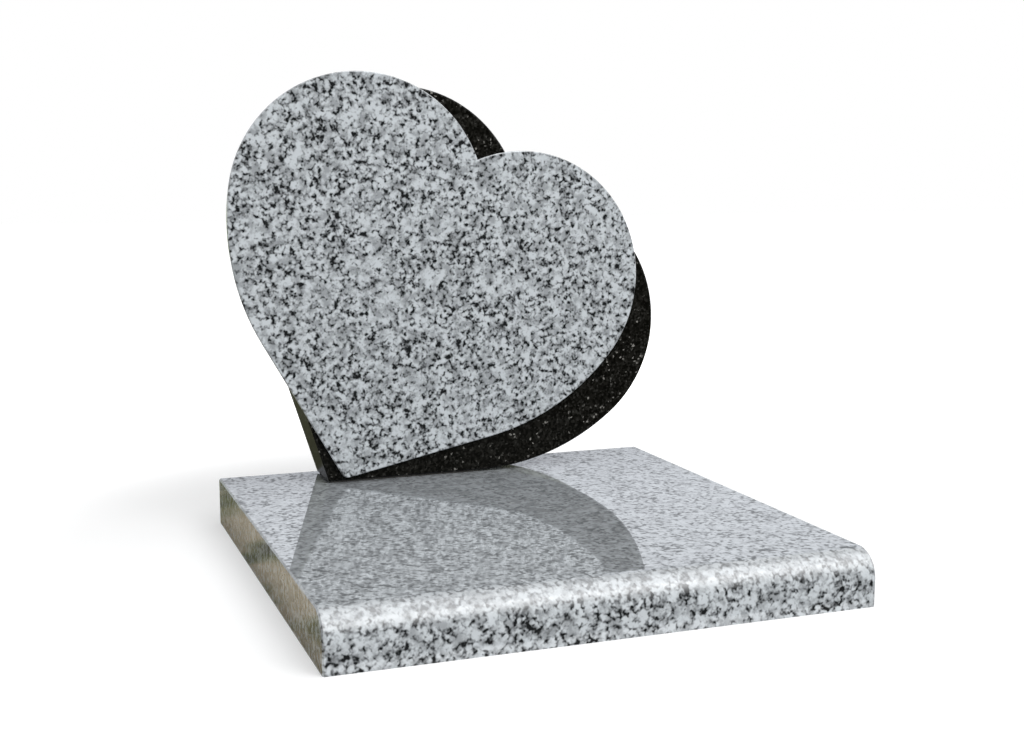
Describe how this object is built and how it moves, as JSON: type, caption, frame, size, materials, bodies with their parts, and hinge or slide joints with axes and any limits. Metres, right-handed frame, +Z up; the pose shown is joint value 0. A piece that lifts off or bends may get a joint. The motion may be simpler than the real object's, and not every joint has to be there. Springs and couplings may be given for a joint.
{
  "type": "cremation memorial",
  "caption": "Granite cremation memorial: a square slab with a rounded front edge carries an upright black heart leaning on its side, with a thin pale heart on its face.",
  "frame": {"origin": "middle of the base slab's underside", "axes": "+Z up, -Y towards the front with the rounded edge, +X to the right seen from the front"},
  "size_m": [0.5, 0.5, 0.4845],
  "materials": {
    "grey_granite": "polished, pale grey with black specks",
    "black_granite": "polished, near black with fine pale flecks",
    "setting_compound": "matt dark grey setting compound",
    "stainless_steel": "plain round bar"
  },
  "bodies": {
    "root": {"base": "grey_granite", "rear_heart": "black_granite", "front_heart": "grey_granite", "setting_bed": "setting_compound", "dowel_1": "stainless_steel", "dowel_2": "stainless_steel"}
  },
  "joints": []
}
